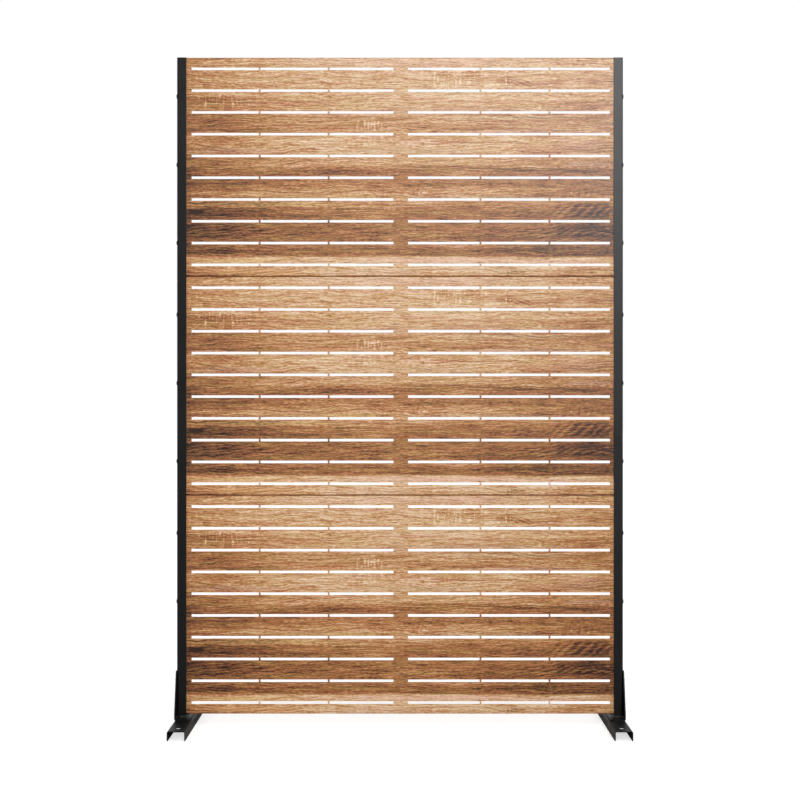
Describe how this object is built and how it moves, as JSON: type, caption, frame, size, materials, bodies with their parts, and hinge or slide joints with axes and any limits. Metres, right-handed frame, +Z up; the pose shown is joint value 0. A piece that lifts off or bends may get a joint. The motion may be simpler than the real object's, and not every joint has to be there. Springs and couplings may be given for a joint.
{
  "type": "garden privacy screen",
  "caption": "Free-standing privacy screen: slotted wood-look sheet-metal panels stacked between black channel posts on bolted channel feet.",
  "frame": {"origin": "on the floor, midway between the posts and midway through their depth", "axes": "+X across the screen to the viewer's right, -Y is the front, +Z up"},
  "size_m": [1.232, 0.304, 1.833],
  "materials": {
    "wood_print": "satin wood-grain print on steel sheet",
    "black_powder": "fine-textured black powder coat",
    "black_screw": "satin black coated screws",
    "zinc": "zinc plated"
  },
  "bodies": {
    "root": {"bracket_bolts_left": "black_screw", "bracket_bolts_right": "black_screw", "foot_bolts_left": "black_screw", "foot_bolts_right": "black_screw", "foot_bracket_left": "black_powder", "foot_bracket_right": "black_powder", "foot_channel_left": "black_powder", "foot_channel_right": "black_powder", "foot_nuts_left": "zinc", "foot_nuts_right": "zinc", "foot_washers_left": "zinc", "foot_washers_right": "zinc", "panel_bolts_bottom": "black_screw", "panel_bolts_middle": "black_screw", "panel_bolts_top": "black_screw", "panel_bottom": "wood_print", "panel_middle": "wood_print", "panel_top": "wood_print", "post_left": "black_powder", "post_right": "black_powder", "weld_nuts_bottom": "zinc", "weld_nuts_middle": "zinc", "weld_nuts_top": "zinc"}
  },
  "joints": []
}
